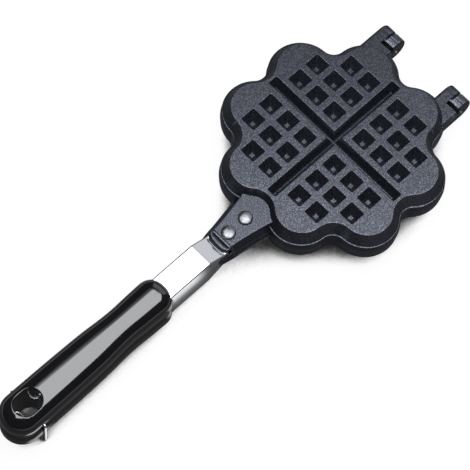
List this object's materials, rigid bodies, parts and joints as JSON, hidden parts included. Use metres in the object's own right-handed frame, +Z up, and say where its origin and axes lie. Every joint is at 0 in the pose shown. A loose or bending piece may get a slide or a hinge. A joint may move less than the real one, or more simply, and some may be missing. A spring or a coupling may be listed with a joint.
{
  "type": "flower waffle iron",
  "caption": "Hinged flower-shaped waffle iron with sunk waffle wells in its outer faces, riveted chrome shanks, black moulded grips with a hanging hole, and a wire locking bail.",
  "frame": {"origin": "centre of the bounding box at its lowest level, under the bail's cross wire, with the iron closed and latched", "axes": "+X from the hinge along the handles to the grips, +Z up through the upper half's outer face, +Y completes the right-handed frame along the hinge axis"},
  "size_m": [0.4044, 0.158, 0.0466],
  "materials": {
    "coated_casting": "dark blue-grey textured non-stick coat",
    "chrome": "bright chrome plate",
    "rivet": "bare bright aluminium",
    "grip": "polished black phenolic moulding",
    "steel": "plain steel"
  },
  "bodies": {
    "lower_half": {"lower_plate": "coated_casting", "lower_shank": "chrome", "lower_grip": "grip", "lower_rivet_1": "rivet", "lower_rivet_2": "rivet", "lower_grip_screw": "steel", "hinge_pin_1": "steel", "hinge_pin_2": "steel"},
    "upper_half": {"upper_plate": "coated_casting", "upper_shank": "chrome", "upper_grip": "grip", "upper_rivet_1": "rivet", "upper_rivet_2": "rivet", "upper_grip_screw": "steel"},
    "bail": {"locking_bail": "chrome"}
  },
  "joints": [
    {"name": "plate_hinge", "type": "hinge", "parent": "lower_half", "child": "upper_half", "pos_m": [-0.1928, 0, 0.02617], "axis": [0, -1, 0], "range_deg": [0, 180]},
    {"name": "bail_swing", "type": "hinge", "parent": "upper_half", "child": "bail", "pos_m": [0.1807, 0, 0.03157], "axis": [0, -1, 0], "range_deg": [0, 235]}
  ]
}
